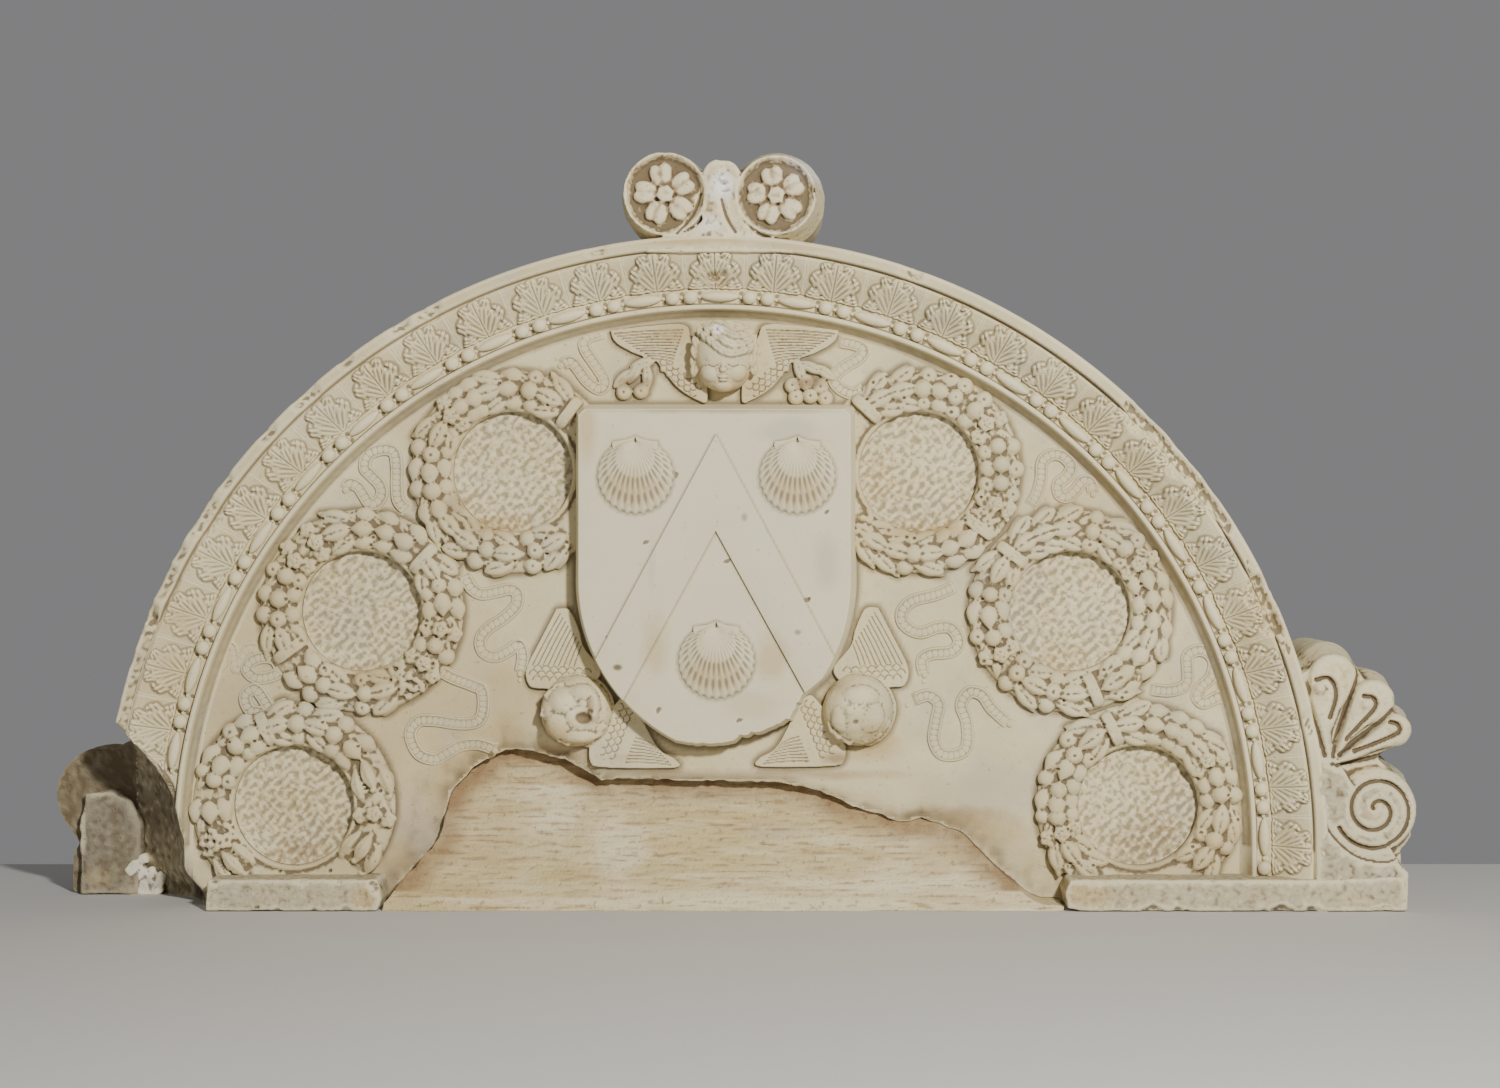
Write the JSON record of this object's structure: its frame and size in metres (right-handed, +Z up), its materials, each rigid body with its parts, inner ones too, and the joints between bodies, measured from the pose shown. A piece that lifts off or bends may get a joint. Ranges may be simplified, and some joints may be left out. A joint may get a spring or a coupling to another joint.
{
  "type": "pediment",
  "caption": "Carved stone lunette pediment: leaf and bead archivolt round a field with fruit wreaths, shield, winged heads and worn acroteria. Stands on its flat underside.",
  "frame": {"origin": "on the underside, on the axis of the arch, halfway through the thickness", "axes": "+X to the right as seen from the front, +Y to the plain back, +Z up"},
  "size_m": [2.2495, 0.284, 1.2279],
  "materials": {
    "stone": "carved and weathered limestone, matt, with ochre and brown stains",
    "mortar": "rough trowelled lime mortar, matt"
  },
  "bodies": {
    "root": {"pediment_stone": "stone", "mortar_infill": "mortar"}
  },
  "joints": []
}
